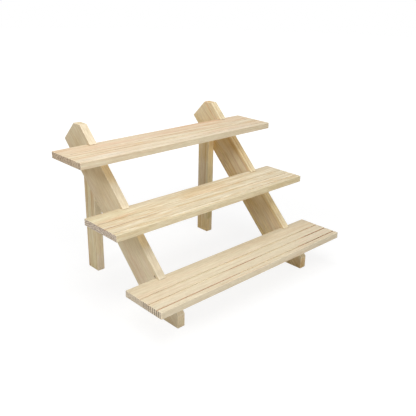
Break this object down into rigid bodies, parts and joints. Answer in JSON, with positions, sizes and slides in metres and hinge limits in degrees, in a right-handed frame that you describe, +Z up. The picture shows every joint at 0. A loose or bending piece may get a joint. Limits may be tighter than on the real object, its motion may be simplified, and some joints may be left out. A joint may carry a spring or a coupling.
{
  "type": "tiered display stand",
  "caption": "Stepped wooden shop display stand: grooved shelves push into slots in two sloping side boards that rear legs hold up.",
  "frame": {"origin": "middle of the bottom of the whole stand, at floor level", "axes": "+X along the shelves to the right seen from the front, +Y to the back, +Z up"},
  "size_m": [0.459, 0.3532, 0.289],
  "materials": {
    "bottom_shelf_wood": "bare sanded softwood",
    "middle_shelf_wood": "bare sanded softwood",
    "top_shelf_wood": "bare sanded softwood",
    "left_stringer_wood": "bare sanded softwood",
    "right_stringer_wood": "bare sanded softwood",
    "left_leg_wood": "bare sanded softwood",
    "right_leg_wood": "bare sanded softwood",
    "screw_steel": "zinc plated"
  },
  "bodies": {
    "frame": {"left_stringer": "left_stringer_wood", "right_stringer": "right_stringer_wood", "left_leg": "left_leg_wood", "right_leg": "right_leg_wood", "left_leg_screws": "screw_steel", "right_leg_screws": "screw_steel"},
    "bottom_shelf": {"bottom_shelf": "bottom_shelf_wood"},
    "middle_shelf": {"middle_shelf": "middle_shelf_wood"},
    "top_shelf": {"top_shelf": "top_shelf_wood"}
  },
  "joints": [
    {"name": "bottom_slide", "type": "slide", "parent": "frame", "child": "bottom_shelf", "axis": [0, -1, 0], "range_m": [0, 0.024]},
    {"name": "middle_slide", "type": "slide", "parent": "frame", "child": "middle_shelf", "axis": [0, -1, 0], "range_m": [0, 0.024]},
    {"name": "top_slide", "type": "slide", "parent": "frame", "child": "top_shelf", "axis": [0, -1, 0], "range_m": [0, 0.024]}
  ]
}
